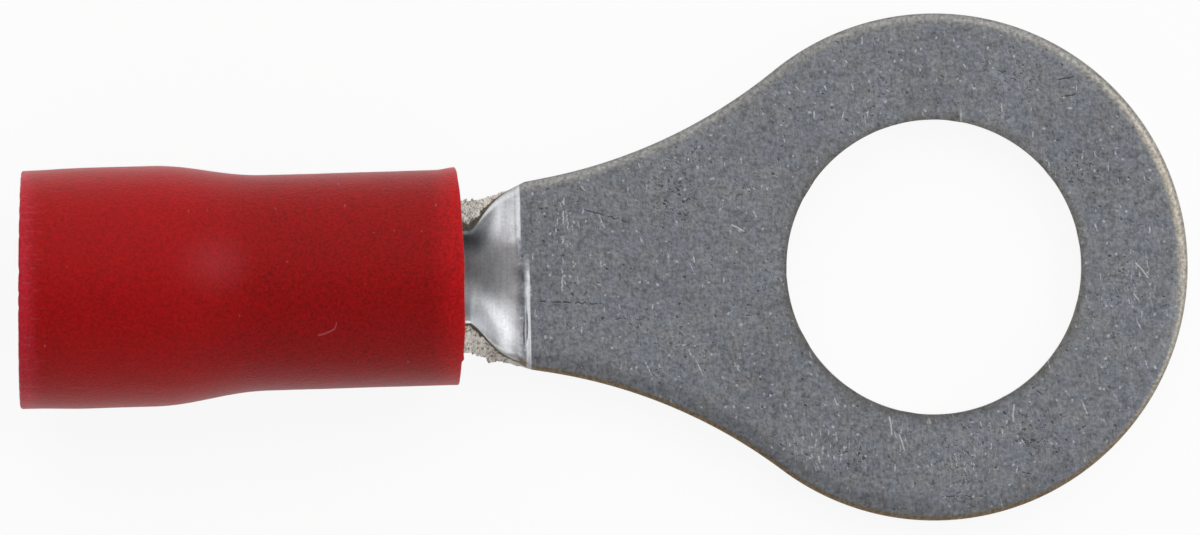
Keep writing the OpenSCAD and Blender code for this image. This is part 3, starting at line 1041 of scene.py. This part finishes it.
def makeSleeve(s):
    rear = sleeveBox[0][0]
    rimX = -blank["tongueReach"] - roll["troughLength"] - roll["closingLength"] + s["lead"]
    slope = tan(radians(s["rake"]))
    length = rimX - rear
    wall = sleeveRadius - barrelRadius
    throatEnd = s["bellLength"] + s["throatLength"]
    rim, edge = s["rimRound"], s["frontRound"]
    swayStart = length - 1.2

    def ease(a, b, t):
        return a + (b - a) * (1 - cos(pi * min(max(t, 0.0), 1.0))) / 2

    def outer(d):
        nip = s["mouthNip"] * (1 - ease(0, 1, (d - rim) / (s["bellLength"] / 2 - rim)))
        share = (d - s["bellLength"]) / (throatEnd + s["shoulderOver"] - s["bellLength"])
        return ease(bellRadius + wall - nip, sleeveRadius, share)

    def inner(d):
        return ease(bellRadius, barrelRadius, (d - s["bellLength"]) / s["throatLength"])

    # profile of (distance from the rear, radius, whether outside)
    outside = [rim + (length - edge - rim) * i / s["along"] for i in range(s["along"] + 1)]
    profile = [(d, outer(d), True) for d in outside]
    for i in range(1, 5):
        a = pi / 2 * i / 4
        profile.append((length - edge + edge * sin(a), sleeveRadius - edge + edge * cos(a), True))
    profile += [(length, sleeveRadius - (wall - edge) * i / 6, False) for i in range(1, 6)]
    profile += [(length * (1 - i / 70), inner(length * (1 - i / 70)), False) for i in range(71)]
    profile += [(0, bellRadius + (wall - rim - s["mouthNip"]) * i / 6, False) for i in range(1, 6)]
    for i in range(6):
        a = pi / 2 * i / 6
        profile.append((rim - rim * cos(a), outer(rim) - rim + rim * sin(a), True))

    def place(d, radius, outside, turn):
        y, z = cos(turn), sin(turn)
        if outside:
            spot = Vector((d, y * 2.4, z * 2.4))
            radius -= s["ripple"] * (1 - noise.noise(spot * 0.8)) / 2
            radius -= s["fineRipple"] * (1 + noise.noise(spot * 5)) / 2
            radius += s["flare"] * smooth(length - s["flareLength"], length, d) * smooth(0.5, 0.95, y)
        if d > swayStart:
            # the slanting front cut, with a small step low on the -Y side
            nick = s["rimStep"] * smooth(2.455, 2.49, turn) * (1 - smooth(2.8, 3.3, turn))
            nick -= 0.02 * max(1 - abs(turn - 2.44) / 0.04, 0)
            uneven = 0.012 * noise.noise(Vector((y * 3, z * 3, 9))) - nick
            d += (slope * radius * z + uneven) * (d - swayStart) / (length - swayStart)
        if d < 1.0:
            # the bell's cut is not quite square and has small nicks
            nicks = 0.03 * max(noise.noise(Vector((y * 16, z * 16, 2))), 0)
            d += (s["rearSlant"] * (1 + y) / 2 + nicks) * (1 - d)
        return (rear + d) * mm, radius * y * mm, (axisHeight + radius * z) * mm

    bm = bmesh.new()
    rows = [[bm.verts.new(place(*spot, 2 * pi * k / s["around"])) for spot in profile]
            for k in range(s["around"])]
    count = len(profile)
    for k in range(s["around"]):
        near, far = rows[k], rows[(k + 1) % s["around"]]
        for i in range(count):
            j = (i + 1) % count
            bm.faces.new((near[i], near[j], far[j], far[i]))
    bmesh.ops.remove_doubles(bm, verts=bm.verts, dist=1e-7)
    bmesh.ops.recalc_face_normals(bm, faces=bm.faces)
    piece = meshObject("vinyl_sleeve", bm)
    piece.data.materials.append(vinyl)
    bend(piece)
    piece.data.shade_smooth()
    piece.data.set_sharp_from_angle(angle=radians(40))
    return piece


sleeve = makeSleeve(sleeveSizes)
print("sleeve:", len(sleeve.data.polygons), "faces")

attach(terminal, "root")
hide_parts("terminal")
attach(sleeve, "root")
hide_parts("sleeve")


studio = {
    "floorSize": 3.0,
    "floorWhite": 0.9,
    "floorGlow": 0.9,
    "worldLevel": 0.36,
}
lamps = {
    # place and size in metres, level is how bright the lamp itself looks
    "back": {"place": (0.0, 0.37, 0.34), "size": (0.8, 0.77), "level": 1.2},
    "right": {"place": (0.34, 0.03, 0.36), "size": (0.5, 0.4), "level": 1.3},
    "front": {"place": (0.0, -0.4, 0.22), "size": (0.6, 0.4), "level": 0.4},
}


def floorMaterial(s):
    material = bpy.data.materials.new("whiteFloor")
    material.use_nodes = True
    tree = material.node_tree
    tree.nodes.clear()
    paint = node(tree, "ShaderNodeBsdfDiffuse", {"Color": (s["floorWhite"],) * 3 + (1,)})
    glow = node(tree, "ShaderNodeEmission", {"Strength": 1.0})
    rays = node(tree, "ShaderNodeLightPath").outputs
    seen = most(*(Wire(rays[label]) for label in ("Is Camera Ray", "Is Glossy Ray", "Is Transmission Ray")))
    inputs = {0: seen * s["floorGlow"], 1: paint.outputs[0], 2: glow.outputs[0]}
    mix = node(tree, "ShaderNodeMixShader", inputs)
    node(tree, "ShaderNodeOutputMaterial", {"Surface": mix.outputs[0]})
    return material


def makeFloor(s):
    # the part rests on its ring's tip and on the lowest point of the sleeve's rim or bell
    rimBottom = -blank["tongueReach"] - roll["troughLength"] - roll["closingLength"] + sleeveSizes["lead"]
    rimBottom -= tan(radians(sleeveSizes["rake"])) * sleeveRadius
    bellBottom = sleeveBox[0][0] + sleeveSizes["bellLength"]
    rimSlope = (sleeveRadius - axisHeight) / (ringRadius - rimBottom)
    bellSlope = -sleeveBox[0][2] / (ringRadius - bellBottom)
    slope = max(rimSlope, bellSlope)
    bm = bmesh.new()
    half = s["floorSize"] / 2
    for x, y in ((-half, -half), (half, -half), (half, half), (-half, half)):
        bm.verts.new((x, y, (x - ringRadius * mm) * slope - 0.01 * mm))
    bm.verts.ensure_lookup_table()
    bm.faces.new(bm.verts)
    floor = meshObject("floor", bm)
    floor.data.materials.append(floorMaterial(s))


def makeWorld(s):
    world = bpy.data.worlds.new("world")
    scene.world = world
    world.use_nodes = True
    tree = world.node_tree
    tree.nodes.clear()
    rays = node(tree, "ShaderNodeLightPath")
    strength = most(Wire(rays.outputs["Is Camera Ray"]), s["worldLevel"])
    back = node(tree, "ShaderNodeBackground", {"Strength": strength})
    node(tree, "ShaderNodeOutputWorld", {"Surface": back.outputs[0]})


def areaLight(name, s):
    data = bpy.data.lights.new(name, "AREA")
    data.shape = "RECTANGLE"
    data.size, data.size_y = s["size"]
    data.energy = s["level"] * pi * s["size"][0] * s["size"][1]
    lamp = bpy.data.objects.new(name, data)
    lamp.location = s["place"]
    aim = Vector((-0.0076, 0, 0)) - Vector(s["place"])
    lamp.rotation_euler = aim.to_track_quat("-Z", "Y").to_euler()
    lamp.visible_camera = False
    scene.collection.objects.link(lamp)


makeFloor(studio)
makeWorld(studio)
for name, sizes in lamps.items():
    areaLight(name, sizes)
scene.view_settings.view_transform = "Standard"
print("studio ready")
